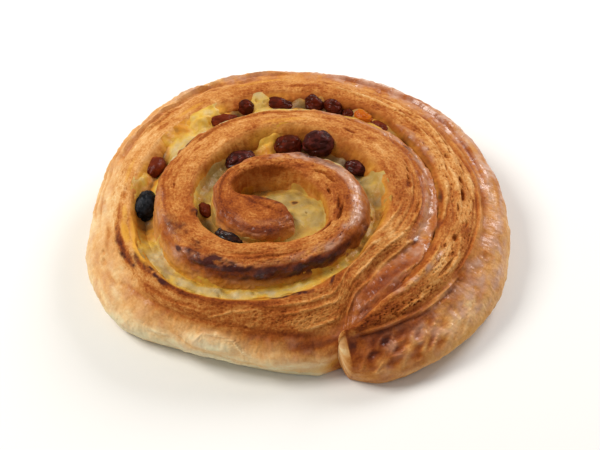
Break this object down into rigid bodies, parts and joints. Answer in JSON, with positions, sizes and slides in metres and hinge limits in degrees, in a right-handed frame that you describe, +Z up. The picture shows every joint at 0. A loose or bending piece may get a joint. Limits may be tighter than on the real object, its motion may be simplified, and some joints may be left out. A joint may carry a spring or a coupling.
{
  "type": "raisin swirl danish pastry",
  "caption": "Round swirl of baked laminated dough, cut face up, with custard in its groove and raisins set in the custard.",
  "frame": {"origin": "centre of the base, on the surface it rests on", "axes": "+Z up, the cut face of the swirl upwards; -Y towards the front, where the strip's outer end lies at the right; +X to the right"},
  "size_m": [0.1194, 0.1073, 0.0286],
  "materials": {
    "baked_dough": "golden-brown baked crust with an egg-wash sheen",
    "custard": "pale yellow baked custard, moist and satin",
    "raisin_skin": "dark wrinkled skin, glossy where not burnt"
  },
  "bodies": {
    "root": {"dough": "baked_dough", "custard": "custard", "raisin_black_left": "raisin_skin", "raisin_far_left": "raisin_skin", "raisin_long": "raisin_skin", "raisin_upright": "raisin_skin", "raisin_rear": "raisin_skin", "raisin_rear_right": "raisin_skin", "raisin_rear_pair": "raisin_skin", "raisin_dark_chip": "raisin_skin", "raisin_amber": "raisin_skin", "raisin_red": "raisin_skin", "raisin_twin_dark": "raisin_skin", "raisin_twin_big": "raisin_skin", "raisin_purple": "raisin_skin", "raisin_hidden_right": "raisin_skin", "raisin_left_sliver": "raisin_skin", "raisin_front_left": "raisin_skin"}
  },
  "joints": []
}
